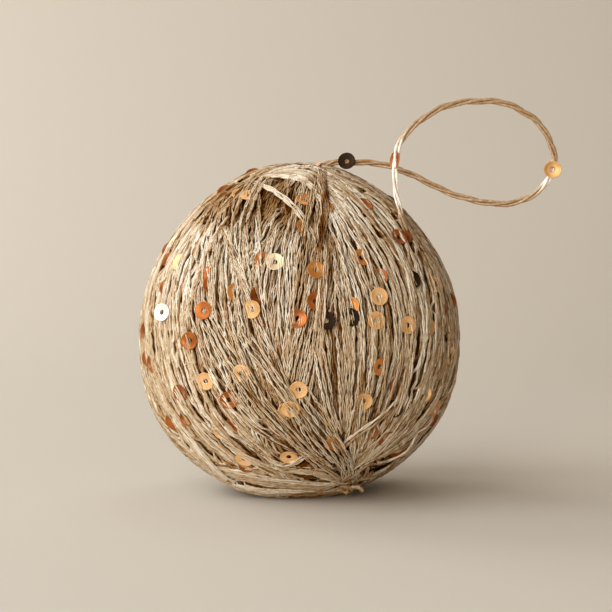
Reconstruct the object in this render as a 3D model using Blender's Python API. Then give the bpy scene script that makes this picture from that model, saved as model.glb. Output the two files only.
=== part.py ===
"""Yarn ball ornament: a ball wound from one silky yarn with sequins on it, and a loop of the yarn to hang it by.

Metres, +Z up. The front faces -Y. The origin is under the middle of the ball, on the flat spot that it rests on.
Places on the front are given as they are seen from a little above level: across, then up from the ball's centre,
as shares of the waist's radius.
"""

import math

import bmesh
import bpy
import numpy as np
from mathutils import Vector
from mathutils.bvhtree import BVHTree

MM = 0.001

# The wound ball, from its flat spot up
CENTRE_HEIGHT = 0.0375
FLAT_SPOT_WIDTH = 0.026
FLANK_RADIUS = 0.0389
WAIST_RADIUS = 0.0376
SHOULDER_RADIUS = 0.0374
CROWN_RADIUS = 0.0390

# Where the eye is when places on the front are read: distance from the ball's centre, and height above level
VIEWING_DISTANCE = 0.450
VIEWING_ELEVATION = math.radians(3.7)

# The windings: bundles of strands that run between two gathering points
BUNDLE_COUNT = 46
BUNDLE_RELIEF = 0.0014
BUNDLE_UNEVENNESS = 0.35
BUNDLE_WANDER = 0.35
ROWS_ALONG_BUNDLE = 30
TOP_GATHERING = Vector((5.5, -4.0, 38.4)) * MM
LOW_GATHERING = Vector((9.5, -21.0, -32.0)) * MM

# The sequins
SEQUIN_DIAMETER = 0.0040
SEQUIN_HOLE = 0.0011
SEQUIN_THICKNESS = 0.0002
SEQUIN_SIDES = 8
CLEARANCE = 0.0003

# The hanging loop
LOOP_YARN_DIAMETER = 0.0013
LOOP_SEQUIN_CLEARANCE = 0.0005
POINT_SPACING_IN_DIAMETERS = 2.4

# Broad swellings and hollows: direction from the centre, then spread and height as shares of the waist's radius
SWELLINGS = (
    ((30.0, 0.0, 22.0), 0.59, -0.021),
    ((-30.0, 0.0, -24.0), 0.48, 0.024),
    ((12.0, 0.0, -36.0), 0.32, -0.016),
    ((-5.0, -24.0, 29.0), 0.19, -0.037),
    ((2.0, -22.0, -32.0), 0.13, -0.032),
)

# Bundles that cross over the others: both ends on the front (across, up), then how wide and how high each one is
# beside the usual crossing width and the usual bundle relief
CROSSING_WIDTH = 0.0036
CROSSING_BUNDLES = (
    ((-0.30, 0.96), (0.13, 0.97), 1.10, 0.95),
    ((-0.31, 0.92), (0.10, 0.67), 0.85, 0.95),
    ((0.15, 1.00), (0.09, 0.42), 0.95, 1.15),
    ((-0.62, 0.19), (0.27, -0.86), 1.05, 1.00),
    ((-0.01, -0.45), (0.27, -0.90), 0.95, 0.95),
    ((0.70, -0.40), (0.24, -0.72), 1.00, 1.05),
    ((-0.82, -0.53), (0.16, -0.94), 1.10, 0.70),
    ((-0.47, 0.66), (-0.32, 0.24), 1.00, 0.80),
    ((0.43, 0.88), (0.88, 0.37), 1.05, 0.70),
)

# Sequins that lie flat on the front (across, up)
FRONT_SEQUINS = (
    (-0.86, 0.11), (-0.60, 0.12), (-0.30, 0.13), (-0.16, 0.43), (0.09, 0.38), (0.17, 0.06), (0.32, 0.08), (0.49, 0.21),
    (0.48, 0.06), (0.68, 0.03), (0.71, 0.32), (-0.02, 0.07), (-0.70, -0.07), (-0.59, -0.32), (-0.36, -0.27),
    (-0.01, -0.37), (-0.06, -0.48), (0.39, -0.44), (0.49, -0.23), (-0.44, -0.43), (-0.41, -0.59), (-0.34, -0.78),
    (-0.07, -0.76), (0.19, -0.68), (-0.74, -0.39), (-0.58, 0.35), (-0.32, 0.84), (0.03, 0.81), (0.40, 0.79),
    (0.39, 0.46), (0.86, 0.29), (0.82, 0.02), (0.61, -0.35), (0.81, -0.47), (0.51, -0.65), (-0.77, 0.43),
    (0.62, 0.59), (0.09, 0.18), (0.93, -0.16), (-0.92, -0.21),
)

# Sequins on the sides and the back lie on an even spiral
BACK_SEQUIN_COUNT = 14
BACK_SPIRAL_TURN = math.radians(137.5)
BACK_SPIRAL_HEIGHTS = (-0.72, 0.84)
BACK_SPIRAL_WIDTH = math.radians(150.0)

# The loop's way through the air, in millimetres, from the top gathering point and back into the ball
LOOP_ROUTE = (
    (7.6, -5.2, 76.5), (10.3, -5.4, 76.5), (13.0, -5.7, 76.5), (16.6, -6.0, 76.3), (19.5, -6.5, 75.8),
    (23.4, -7.1, 74.5), (27.9, -8.2, 72.4), (32.4, -9.3, 70.1), (37.6, -10.4, 68.2), (43.9, -11.5, 67.0),
    (48.8, -12.0, 67.3), (52.9, -12.4, 69.1), (55.6, -12.5, 71.8), (57.2, -12.7, 75.4), (57.0, -12.8, 79.4),
    (54.3, -12.7, 84.6), (51.1, -12.9, 87.2), (46.2, -13.3, 89.6), (41.0, -13.4, 90.1), (35.3, -13.8, 89.6),
    (30.4, -14.4, 87.9), (25.6, -14.9, 84.6), (22.8, -15.3, 81.4), (21.5, -15.9, 78.0), (21.2, -16.4, 72.9),
    (21.4, -16.7, 69.4), (22.0, -16.9, 66.8),
)

# Sequins on the loop: distance along it as a share of its length, and the way that each one faces
LOOP_SEQUINS = (
    (0.025, Vector((0.05, -1.0, 0.30))),
    (0.472, Vector((-0.55, -1.0, 0.10))),
    (0.913, Vector((-0.90, -0.30, 0.25))),
)

YARN_COLOUR = (0.40, 0.25, 0.13, 1.0)
SEQUIN_COLOUR = (0.72, 0.34, 0.12, 1.0)

CENTRE = Vector((0.0, 0.0, CENTRE_HEIGHT))


def remove_everything():
    """Clears the scene."""
    for obj in list(bpy.data.objects):
        bpy.data.objects.remove(obj, do_unlink=True)


def principled(name, colour, roughness, metallic):
    """A plain material."""
    material = bpy.data.materials.new(name)
    material.use_nodes = True
    shader = material.node_tree.nodes["Principled BSDF"]
    shader.inputs["Base Color"].default_value = colour
    shader.inputs["Roughness"].default_value = roughness
    shader.inputs["Metallic"].default_value = metallic
    material.diffuse_color = colour
    return material


def add_object(name, data, material):
    """Puts a mesh or a curve into the scene under this name."""
    obj = bpy.data.objects.new(name, data)
    obj.data.materials.append(material)
    bpy.context.scene.collection.objects.link(obj)
    return obj


def unit(vector):
    return vector / np.linalg.norm(vector, axis=-1, keepdims=True)


def eased(low, high, share):
    """Runs smoothly from low to high as the share goes from 0 to 1."""
    return low + (high - low) * share * share * (3.0 - 2.0 * share)


def round_radius(directions):
    """The ball's radius before its windings: a lathe profile through the named radii, settled on its flat spot."""
    foot_radius = math.hypot(CENTRE_HEIGHT, FLAT_SPOT_WIDTH / 2)
    foot_latitude = -math.degrees(math.atan2(CENTRE_HEIGHT, FLAT_SPOT_WIDTH / 2))
    knots = (-90.0, foot_latitude, -35.0, 0.0, 35.0, 90.0)
    radii = (foot_radius, foot_radius, FLANK_RADIUS, WAIST_RADIUS, SHOULDER_RADIUS, CROWN_RADIUS)
    latitude = np.degrees(np.arcsin(np.clip(directions[:, 2], -1.0, 1.0)))
    radius = np.empty(len(latitude))
    for low, high, start, end in zip(knots, knots[1:], radii, radii[1:]):
        inside = (latitude >= low) & (latitude <= high)
        radius[inside] = eased(start, end, (latitude[inside] - low) / (high - low))
    return radius


def swelling(directions):
    """What the broad swellings and hollows add to the radius."""
    added = np.zeros(len(directions))
    for place, spread, height in SWELLINGS:
        middle = unit(np.array(place))
        distance = np.arccos(np.clip(directions @ middle, -1.0, 1.0))
        added += height * WAIST_RADIUS * np.exp(-((distance / spread) ** 2))
    return added


def seen_from_front(across, up):
    """The direction from the ball's centre to a place seen on its front, in perspective."""
    level = math.cos(VIEWING_ELEVATION)
    raised = math.sin(VIEWING_ELEVATION)
    eye = np.array((0.0, -level, raised)) * VIEWING_DISTANCE
    upright = np.array((0.0, raised, level))
    seen = (np.array((across, 0.0, 0.0)) + upright * up) * WAIST_RADIUS
    sight = unit(seen - eye)
    nearest = -(eye @ sight)
    beside = VIEWING_DISTANCE**2 - nearest**2
    inside = math.sqrt(max(WAIST_RADIUS**2 - beside, 0.0))
    return unit(eye + sight * (nearest - inside))


def crossing_relief(directions):
    """What the crossing bundles add: each is a rounded band along the shortest way between its ends."""
    added = np.zeros(len(directions))
    for start, end, width, height in CROSSING_BUNDLES:
        first = seen_from_front(*start)
        last = seen_from_front(*end)
        across_band = unit(np.cross(first, last))
        along_start = np.cross(across_band, first)
        along_end = np.cross(last, across_band)
        sideways = np.abs(np.arcsin(np.clip(directions @ across_band, -1.0, 1.0)))
        before = np.arcsin(np.clip(-(directions @ along_start), 0.0, 1.0))
        after = np.arcsin(np.clip(-(directions @ along_end), 0.0, 1.0))
        distance = np.hypot(sideways, np.maximum(before, after)) * WAIST_RADIUS
        reach = width * CROSSING_WIDTH / 2
        added = np.maximum(added, height * BUNDLE_RELIEF * np.exp(-((distance / reach) ** 4)))
    return added


def arc_through(start, middle, end, shares):
    """Directions on the circle that runs over the unit sphere from start through middle to end."""
    axis = unit(np.cross(middle - start, end - start))
    centre = axis * (axis @ start)
    towards = start - centre
    sideways = np.cross(axis, towards)
    target = end - centre
    sweep = math.atan2(target @ sideways, target @ towards) % (2.0 * math.pi)
    angles = sweep * shares
    return centre + np.outer(np.cos(angles), towards) + np.outer(np.sin(angles), sideways)


def winding_grid():
    """Directions for every column and row of the ball's skin. Columns follow the crests and valleys of the bundles."""
    top = unit(np.array(TOP_GATHERING))
    low = unit(np.array(LOW_GATHERING))
    side = unit(np.cross(top, low))
    front = unit(np.cross(side, unit(top - low)))
    columns = 2 * BUNDLE_COUNT
    shares = np.linspace(0.0, 1.0, ROWS_ALONG_BUNDLE + 2)[1:-1]
    step = 2.0 * math.pi / columns
    grid = np.empty((columns, ROWS_ALONG_BUNDLE, 3))
    for column in range(columns):
        wander = BUNDLE_WANDER * step * np.sin(2.0 * math.pi * shares + 2.4 * column)
        for row, share in enumerate(shares):
            angle = column * step + wander[row]
            middle = math.cos(angle) * side + math.sin(angle) * front
            grid[column, row] = arc_through(top, middle, low, np.array([share]))[0]
    return top, low, unit(grid), shares


def bundle_relief(shares):
    """Crest and valley heights for every column and row, fading where the bundles gather."""
    columns = np.arange(2 * BUNDLE_COUNT)
    is_crest = columns % 2 == 0
    uneven = 1.0 + BUNDLE_UNEVENNESS * np.sin(columns * 2.1) * np.cos(columns * 0.73)
    relief = np.where(is_crest, 0.5, -0.5) * uneven * BUNDLE_RELIEF
    fade = np.sin(math.pi * shares) ** 0.6
    return np.outer(relief, fade)


def make_wound_ball(material):
    """The ball's skin in rows and columns between the two gathering points, cut flat where it rests."""
    top, low, grid, shares = winding_grid()
    columns, rows, _ = grid.shape
    directions = grid.reshape(-1, 3)
    radius = round_radius(directions) + swelling(directions) + crossing_relief(directions)
    radius = radius + bundle_relief(shares).reshape(-1)
    points = directions * radius[:, None] + np.array(CENTRE)
    skin = bmesh.new()
    vertices = [skin.verts.new(point) for point in points]
    poles = []
    for pole in (top, low):
        reach = round_radius(pole[None])[0] + swelling(pole[None])[0] + crossing_relief(pole[None])[0]
        poles.append(skin.verts.new(np.array(CENTRE) + pole * reach))
    for column in range(columns):
        here = column * rows
        beside = (column + 1) % columns * rows
        skin.faces.new((poles[0], vertices[here], vertices[beside]))
        for row in range(rows - 1):
            skin.faces.new(
                (vertices[here + row], vertices[here + row + 1], vertices[beside + row + 1], vertices[beside + row])
            )
        skin.faces.new((vertices[here + rows - 1], poles[1], vertices[beside + rows - 1]))
    bmesh.ops.recalc_face_normals(skin, faces=skin.faces)
    everything = skin.verts[:] + skin.edges[:] + skin.faces[:]
    cut = bmesh.ops.bisect_plane(
        skin, geom=everything, dist=1e-7, plane_co=(0.0, 0.0, 0.0), plane_no=(0.0, 0.0, 1.0), clear_inner=True
    )
    rim = [item for item in cut["geom_cut"] if isinstance(item, bmesh.types.BMEdge)]
    bmesh.ops.contextual_create(skin, geom=rim)
    bmesh.ops.triangulate(skin, faces=skin.faces)
    bmesh.ops.recalc_face_normals(skin, faces=skin.faces)
    mesh = bpy.data.meshes.new("wound_ball")
    skin.to_mesh(mesh)
    skin.free()
    mesh.shade_smooth()
    mesh.set_sharp_from_angle(angle=math.radians(50))
    return add_object("wound_ball", mesh, material)


def sequin_mesh():
    """A thin flat ring."""
    ring = bmesh.new()
    loops = []
    half = SEQUIN_THICKNESS / 2
    for radius, height in (
        (SEQUIN_DIAMETER / 2, half), (SEQUIN_HOLE / 2, half), (SEQUIN_HOLE / 2, -half), (SEQUIN_DIAMETER / 2, -half)
    ):
        loop = []
        for corner in range(SEQUIN_SIDES):
            angle = 2.0 * math.pi * corner / SEQUIN_SIDES
            loop.append(ring.verts.new((radius * math.cos(angle), radius * math.sin(angle), height)))
        loops.append(loop)
    for first, second in zip(loops, loops[1:] + loops[:1]):
        for corner in range(SEQUIN_SIDES):
            beside = (corner + 1) % SEQUIN_SIDES
            ring.faces.new((first[corner], first[beside], second[beside], second[corner]))
    bmesh.ops.recalc_face_normals(ring, faces=ring.faces)
    mesh = bpy.data.meshes.new("sequin")
    ring.to_mesh(mesh)
    ring.free()
    return mesh


def facing(normal):
    """The rotation that turns +Z to this direction."""
    return normal.to_track_quat("Z", "Y")


def disc_spots():
    """Spots spread over a sequin, across and along it."""
    spots = [(0.0, 0.0)]
    for share, count in ((0.3, 6), (0.6, 12), (0.85, 24), (1.0, 32)):
        reach = share * SEQUIN_DIAMETER / 2
        for step in range(count):
            angle = 2.0 * math.pi * step / count
            spots.append((reach * math.cos(angle), reach * math.sin(angle)))
    return spots


def rest_on_windings(skin, direction):
    """Where a sequin lies on the windings under a direction: its centre and the way that it faces."""
    outward = Vector(direction)
    normal = outward
    middle = skin.ray_cast(CENTRE, outward)[0]
    for attempt in range(3):
        turn = facing(normal)
        hits = []
        for across, along in disc_spots():
            start = middle + turn @ Vector((across, along, SEQUIN_DIAMETER))
            hits.append(skin.ray_cast(start, -normal)[0])
        if attempt < 2:
            middle = sum(hits, Vector()) / len(hits)
            fitted = Vector(np.linalg.svd(np.array([hit - middle for hit in hits]))[2][2])
            normal = fitted if fitted.dot(outward) > 0.0 else -fitted
    lift = max((hit - middle).dot(normal) for hit in hits)
    return middle + normal * (lift + CLEARANCE + SEQUIN_THICKNESS / 2), normal


def back_directions():
    """Directions on an even spiral over the sides and the back."""
    low, high = BACK_SPIRAL_HEIGHTS
    for step in range(BACK_SEQUIN_COUNT):
        height = low + (high - low) * (step + 0.5) / BACK_SEQUIN_COUNT
        turn = (step * BACK_SPIRAL_TURN) % (2.0 * math.pi)
        bearing = math.pi / 2 + (turn / math.pi - 1.0) * BACK_SPIRAL_WIDTH / 2
        level = math.sqrt(1.0 - height * height)
        yield np.array((level * math.cos(bearing), level * math.sin(bearing), height))


def make_ball_sequins(ball, material):
    """The sequins that lie flat on the ball."""
    skin = BVHTree.FromObject(ball, bpy.context.evaluated_depsgraph_get())
    mesh = sequin_mesh()
    directions = [seen_from_front(*place) for place in FRONT_SEQUINS]
    directions.extend(back_directions())
    for number, direction in enumerate(directions, start=1):
        centre, normal = rest_on_windings(skin, direction)
        sequin = add_object(f"sequin_{number:02d}", mesh.copy(), material)
        sequin.location = centre
        sequin.rotation_mode = "QUATERNION"
        sequin.rotation_quaternion = facing(normal)


def smooth_route(route, per_stretch=24):
    """A smooth curve through the route's points, as many fine steps."""
    points = [Vector(point) * MM for point in route]
    points = [points[0] * 2 - points[1]] + points + [points[-1] * 2 - points[-2]]
    fine = []
    for before, start, end, after in zip(points, points[1:], points[2:], points[3:]):
        for step in range(per_stretch):
            t = step / per_stretch
            fine.append(
                0.5
                * (
                    2.0 * start
                    + (end - before) * t
                    + (2.0 * before - 5.0 * start + 4.0 * end - after) * t * t
                    + (3.0 * start - before - 3.0 * end + after) * t**3
                )
            )
    fine.append(points[-2])
    return np.array(fine)


def along_route(fine):
    """Distance along the route at each fine step."""
    return np.concatenate([[0.0], np.cumsum(np.linalg.norm(np.diff(fine, axis=0), axis=1))])


def place_on_route(fine, distance):
    travelled = along_route(fine)
    return Vector([np.interp(distance, travelled, fine[:, axis]) for axis in range(3)])


def make_hanging_loop(fine, material):
    """The loop's yarn, as a plain round tube."""
    length = along_route(fine)[-1]
    count = math.ceil(length / (POINT_SPACING_IN_DIAMETERS * LOOP_YARN_DIAMETER)) + 1
    curve = bpy.data.curves.new("hanging_loop", "CURVE")
    curve.dimensions = "3D"
    curve.bevel_depth = LOOP_YARN_DIAMETER / 2
    curve.bevel_resolution = 2
    curve.use_fill_caps = True
    spline = curve.splines.new("POLY")
    spline.points.add(count - 1)
    for index, point in enumerate(spline.points):
        place = place_on_route(fine, length * index / (count - 1))
        point.co = (*place, 1.0)
    spline.use_smooth = True
    return add_object("hanging_loop", curve, material)


def make_loop_sequins(fine, material):
    """The sequins on the loop, each beside its yarn and turned its own way."""
    length = along_route(fine)[-1]
    beside = LOOP_YARN_DIAMETER / 2 + LOOP_SEQUIN_CLEARANCE + SEQUIN_THICKNESS / 2
    mesh = sequin_mesh()
    for number, (share, faces) in enumerate(LOOP_SEQUINS, start=1):
        here = place_on_route(fine, length * share)
        ahead = place_on_route(fine, length * min(share + 0.01, 1.0))
        along = (ahead - here).normalized()
        normal = (faces - along * faces.dot(along)).normalized()
        sequin = add_object(f"loop_sequin_{number}", mesh.copy(), material)
        sequin.location = here + normal * beside
        sequin.rotation_mode = "QUATERNION"
        sequin.rotation_quaternion = facing(normal)


def main():
    remove_everything()
    yarn = principled("yarn", YARN_COLOUR, 0.45, 0.0)
    foil = principled("sequin_foil", SEQUIN_COLOUR, 0.25, 1.0)
    ball = make_wound_ball(yarn)
    bpy.context.view_layer.update()
    make_ball_sequins(ball, foil)
    fine = smooth_route(LOOP_ROUTE)
    make_hanging_loop(fine, yarn)
    make_loop_sequins(fine, foil)


main()
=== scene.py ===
"""Looks of the yarn ball ornament: the strands of its winding, its sequins, its hanging loop and a studio.

Metres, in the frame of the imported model. Places on the ball's front are in millimetres, across and up
from the ball's centre, as the camera sees them.
"""

import math

import bpy
import numpy as np
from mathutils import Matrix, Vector


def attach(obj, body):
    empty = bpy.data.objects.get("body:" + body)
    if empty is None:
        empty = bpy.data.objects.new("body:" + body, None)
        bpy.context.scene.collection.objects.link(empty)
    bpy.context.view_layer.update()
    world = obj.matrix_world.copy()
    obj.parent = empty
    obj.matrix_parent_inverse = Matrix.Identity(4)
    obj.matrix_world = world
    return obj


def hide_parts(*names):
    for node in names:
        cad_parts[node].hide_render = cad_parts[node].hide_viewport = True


MM = 0.001
TURN = 2.0 * math.pi

# The view
VIEW_DISTANCE = 0.450
VIEW_ELEVATION = math.radians(3.0)
FRAME_WIDTH = 0.1432
AIM_ACROSS = 0.0012
AIM_UP = 0.0056
SENSOR_WIDTH = 36.0

# The ball
CENTRE = np.array((0.0, 0.0, 0.0375))
BALL_RADIUS = 0.0380
FORM_SMOOTHING = 0.0038
CORE_DEPTH = 0.0021

# The skin, the mean height of the windings round a place, lies on the form, a little sunk into it. What
# stands out of it or lies deep in it is pressed together towards these limits.
SKIN_REACH = 0.0024
SKIN_RINGS = ((0.33, 4), (0.66, 8), (1.0, 12))
SKIN_DROP = 0.00072
STACKING = 0.8
HIGHEST = 0.0006
DEEPEST = 0.0008

# One strand of the yarn: two plies twisted round each other, flattened where they lie on the ball
PLY_RADIUS = 0.24 * MM
PLY_SPREAD = 0.22 * MM
PLY_RISE = 0.10 * MM
PLY_SIDES = 3
PLY_SIZES = (0.88, 1.1)
PLY_UNEVENNESS = 0.20
PLY_TONES = 0.10
DRIFT_ACROSS = 0.035 * MM
DRIFT_OUTWARD = 0.02 * MM
TWIST_PITCH = 7.5 * MM
TWIST_RANGE = (0.7, 1.5)
SLACKNESS = 0.12
SLACK_LENGTH = 23 * MM
STRAND_WIDTH = 2 * (PLY_RADIUS + PLY_SPREAD)
STRAND_HEIGHT = 2 * (PLY_RADIUS + PLY_RISE)
END_TAPER = 0.5
SAMPLE_STEP = 0.5 * MM
SAMPLES_PER_SEGMENT = 2
FEWEST_SAMPLES = 8
ARC_POINTS = 160

# How a strand rests on others, how deep under them it still shows, and how much painted shade darkens it
# there
SETTLING = 0.34
HIDDEN_DEPTH = 0.9 * MM
BURIED_DEPTH = 1.5 * MM
BURIED_SHADE = 0.5

# The plain strands of the layer beneath
UNDER_RADIUS = 0.42 * MM
UNDER_COUNT = 250
UNDER_SPREAD = 4 * MM

# The map of heights, how many directions are handled at once, and when a mesh of strands is full
MAP_CELL = 0.25 * MM
MAP_CELLS = int(BALL_RADIUS * math.pi / 2 / MAP_CELL)
DIRECTIONS_AT_ONCE = 1000
MOST_TRIANGLES = 185000

# One sequin: a thin cupped ring, and how far it is lifted over or sunk into the windings
SEQUIN_RADIUS = 2.0 * MM
SEQUIN_HOLE_RADIUS = 0.55 * MM
SEQUIN_SIDES = 22
SEQUIN_CUP = 0.28 * MM
SEQUIN_RIM = 0.05 * MM
SEQUIN_THICKNESS = 0.05 * MM
SEQUIN_LIFT = 0.10 * MM
HIDDEN_SEQUIN_LIFT = 0.06 * MM
SLIVER_DEPTH = 0.66 * MM

# How many percent of the spots beneath a sequin are lower than what it rests on
SEQUIN_SEAT = 92
SLIVER_SEAT = 80

random = np.random.default_rng(11)


def unit(vectors):
    return vectors / np.linalg.norm(vectors, axis=-1, keepdims=True)


def add_object(name, data):
    obj = bpy.data.objects.new(name, data)
    bpy.context.scene.collection.objects.link(obj)
    return obj


# The camera


def view_axes():
    """Right, up and towards the camera, for the view from slightly above level."""
    raised = math.sin(VIEW_ELEVATION)
    level = math.cos(VIEW_ELEVATION)
    return np.array((1.0, 0.0, 0.0)), np.array((0.0, raised, level)), np.array((0.0, -level, raised))


def view_point():
    right, up, towards = view_axes()
    return CENTRE + right * AIM_ACROSS + up * AIM_UP + towards * VIEW_DISTANCE


def make_camera():
    data = bpy.data.cameras.new("view")
    data.sensor_width = SENSOR_WIDTH
    data.lens = SENSOR_WIDTH * VIEW_DISTANCE / FRAME_WIDTH
    data.clip_start = 0.01
    data.clip_end = 20.0
    camera = add_object("view", data)
    camera.location = view_point()
    camera.rotation_euler = (math.pi / 2 - VIEW_ELEVATION, 0.0, 0.0)
    bpy.context.scene.camera = camera


def seen_on_sphere(across, up, radius):
    """The direction from the ball's centre to a place as seen on a sphere, or to the nearest of its rim."""
    right, upright, _ = view_axes()
    eye = view_point() - CENTRE
    sight = unit((right * across + upright * up) * MM - eye)
    nearest = -(eye @ sight)
    beside = eye @ eye - nearest**2
    inside = math.sqrt(max(radius**2 - beside, 0.0))
    return unit(eye + sight * (nearest - inside))


# Meshes


def mesh_object(name, points, groups, material, tones=None):
    """A smooth mesh object. Each group of faces is an array of those with the same number of corners."""
    corners = np.concatenate([group.reshape(-1) for group in groups])
    sizes = np.concatenate([np.full(len(group), group.shape[1]) for group in groups])
    mesh = bpy.data.meshes.new(name)
    mesh.vertices.add(len(points))
    mesh.vertices.foreach_set("co", np.asarray(points, np.float32).reshape(-1))
    mesh.loops.add(len(corners))
    mesh.loops.foreach_set("vertex_index", corners.astype(np.int32))
    mesh.polygons.add(len(sizes))
    mesh.polygons.foreach_set("loop_start", (np.cumsum(sizes) - sizes).astype(np.int32))
    mesh.polygons.foreach_set("use_smooth", np.ones(len(sizes), bool))
    if tones is not None:
        layer = mesh.attributes.new("tone", "FLOAT", "POINT")
        layer.data.foreach_set("value", np.asarray(tones, np.float32))
    mesh.update(calc_edges=True)
    mesh.validate()
    mesh.materials.append(material)
    return add_object(name, mesh)


def grid_faces(rows, columns, closed=False):
    """Faces between rows of points that each go round, also from the last row to the first if closed."""
    row, column = np.meshgrid(np.arange(rows if closed else rows - 1), np.arange(columns), indexing="ij")
    after = (row + 1) % rows
    turned = (column + 1) % columns
    corners = (row, column), (after, column), (after, turned), (row, turned)
    return np.stack([down * columns + across for down, across in corners], axis=-1).reshape(-1, 4)


def joined(parts):
    """The points and faces of several meshes in one."""
    starts = np.cumsum([0] + [len(points) for points, _ in parts[:-1]])
    faces = [faces + start for (_, faces), start in zip(parts, starts)]
    return np.concatenate([points for points, _ in parts]), np.concatenate(faces)


def tube(line, normals, radius, sides):
    """Points, walls and caps of a closed tube round a line, thinner at its ends."""
    tangents = unit(np.gradient(line, axis=0))
    across = unit(np.cross(tangents, normals))
    outward = np.cross(across, tangents)
    angles = math.pi / 2 + TURN * np.arange(sides) / sides
    size = np.broadcast_to(np.asarray(radius, float), (len(line),)).copy()
    size[[0, -1]] *= END_TAPER
    ring = np.cos(angles)[None, :, None] * across[:, None] + np.sin(angles)[None, :, None] * outward[:, None]
    points = (line[:, None] + ring * size[:, None, None]).reshape(-1, 3)
    start = np.arange(sides)
    end = (len(line) - 1) * sides + start[::-1]
    return points, grid_faces(len(line), sides), np.stack((start, end))


class Bundle:
    """Gathers tubes into one mesh. Their samples keep their tones, directions and heights."""

    def __init__(self):
        self.tubes = []
        self.count = 0
        self.triangles = 0

    def add(self, line, normals, radius, sides, tone, heights):
        points, walls, caps = tube(line, normals, radius, sides)
        tones = np.broadcast_to(tone, (len(line),))
        corners = np.full(len(line), sides)
        self.tubes.append((points, walls + self.count, caps + self.count, tones, normals, heights, corners))
        self.count += len(points)
        self.triangles += 2 * len(walls) + 2 * (sides - 2)

    def build(self, name, material, relief=None):
        """The mesh, with painted shade: a darker tone wherever other strands of the relief lie over a tube.
        """
        parts = [np.concatenate(part) for part in zip(*self.tubes)]
        points, walls, caps, tones, directions, heights, corners = parts
        if relief is not None:
            # Painted shade: buried samples get a lower tone, the deeper the darker
            buried = relief.read(directions) - heights
            tones = tones - BURIED_SHADE * averaged(np.clip(buried / BURIED_DEPTH, 0.0, 1.0), 1)
        return mesh_object(name, points, [walls, caps], material, np.repeat(tones, corners))


# The ball's form and the height of its windings


class Form:
    """The ball's round form without its bundles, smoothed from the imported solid."""

    def __init__(self, node):
        points = np.array([vertex.co for vertex in node.data.vertices]) - CENTRE
        self.radii = np.linalg.norm(points, axis=1)
        self.directions = unit(points)
        self.sharpness = (BALL_RADIUS / FORM_SMOOTHING) ** 2

    def radius(self, directions):
        found = []
        for start in range(0, len(directions), DIRECTIONS_AT_ONCE):
            some = directions[start : start + DIRECTIONS_AT_ONCE]
            weights = np.exp(self.sharpness * (some @ self.directions.T - 1.0))
            found.append(weights @ self.radii / weights.sum(axis=1))
        return np.concatenate(found)

    def radius_along(self, directions):
        """The same along a route, from every third sample."""
        samples = np.arange(len(directions))
        return np.interp(samples, samples[::3], self.radius(directions[::3]))

    def seen(self, across, up):
        """The direction from the ball's centre to what the camera sees at this place."""
        direction = seen_on_sphere(across, up, BALL_RADIUS)
        return seen_on_sphere(across, up, self.radius(direction[None])[0])


class Relief:
    """How high the windings stand on the form so far, in cells on the faces of a cube round the ball."""

    def __init__(self):
        self.heights = np.zeros(6 * MAP_CELLS * MAP_CELLS)
        self.ways = np.zeros((6 * MAP_CELLS * MAP_CELLS, 3))

    def cells(self, directions):
        size = np.abs(directions)
        main = size.argmax(axis=1)
        rows = np.arange(len(directions))
        cells = 2 * main + (directions[rows, main] > 0.0)
        for turn in (1, 2):
            share = directions[rows, (main + turn) % 3] / size[rows, main]
            column = ((np.arctan(share) / (math.pi / 4) + 1.0) / 2 * MAP_CELLS).astype(int)
            cells = cells * MAP_CELLS + np.clip(column, 0, MAP_CELLS - 1)
        return cells

    def read(self, directions):
        return self.heights[self.cells(directions)]

    def lay(self, directions, heights, ways=None):
        cells = self.cells(directions)
        if ways is not None:
            higher = heights > self.heights[cells]
            self.ways[cells[higher]] = ways[higher]
        np.maximum.at(self.heights, cells, heights)

    def way(self, directions):
        """The way that the topmost strands run here, from the upper gathering point down."""
        ways = self.ways[self.cells(directions)]
        downward = np.sign(ways @ (LOW - TOP))
        return unit((ways * downward[:, None]).sum(axis=0))


def highest_within(values, reach):
    """The running maximum over reach samples either way."""
    padded = np.pad(values, reach, mode="edge")
    return np.lib.stride_tricks.sliding_window_view(padded, 2 * reach + 1).max(axis=1)


def averaged(values, reach):
    padded = np.pad(values, reach, mode="edge")
    weights = np.hanning(2 * reach + 3)[1:-1]
    return np.convolve(padded, weights / weights.sum(), mode="valid")


# Routes over the ball


def moved(directions, side, distance):
    """The directions of places moved aside on the ball by a distance."""
    return unit(directions + side * (distance / BALL_RADIUS))


def distances(line):
    """How far each point of a line is from its start."""
    return np.concatenate([[0.0], np.cumsum(np.linalg.norm(np.diff(line, axis=0), axis=1))])


def points_at(line, along, at):
    """The points of a line at these distances along it."""
    return np.stack([np.interp(at, along, line[:, axis]) for axis in range(3)], axis=1)


def evenly(directions):
    """The same route with its samples a step apart."""
    along = distances(directions) * BALL_RADIUS
    segments = int(along[-1] / SAMPLE_STEP / SAMPLES_PER_SEGMENT)
    count = max(FEWEST_SAMPLES, segments * SAMPLES_PER_SEGMENT + 1)
    return unit(points_at(directions, along, np.linspace(0.0, along[-1], count)))


def arc_through(start, middle, end, before=0.0, beyond=0.0):
    """The circle over the ball through three directions, run on past its ends by these lengths."""
    axis = unit(np.cross(middle - start, end - start))
    centre = axis * (axis @ start)
    towards = start - centre
    sideways = np.cross(axis, towards)
    target = end - centre
    sweep = math.atan2(target @ sideways, target @ towards) % TURN
    reach = np.linalg.norm(towards) * BALL_RADIUS
    angles = np.linspace(-before / reach, sweep + beyond / reach, ARC_POINTS)
    return evenly(centre + np.outer(np.cos(angles), towards) + np.outer(np.sin(angles), sideways))


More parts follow.
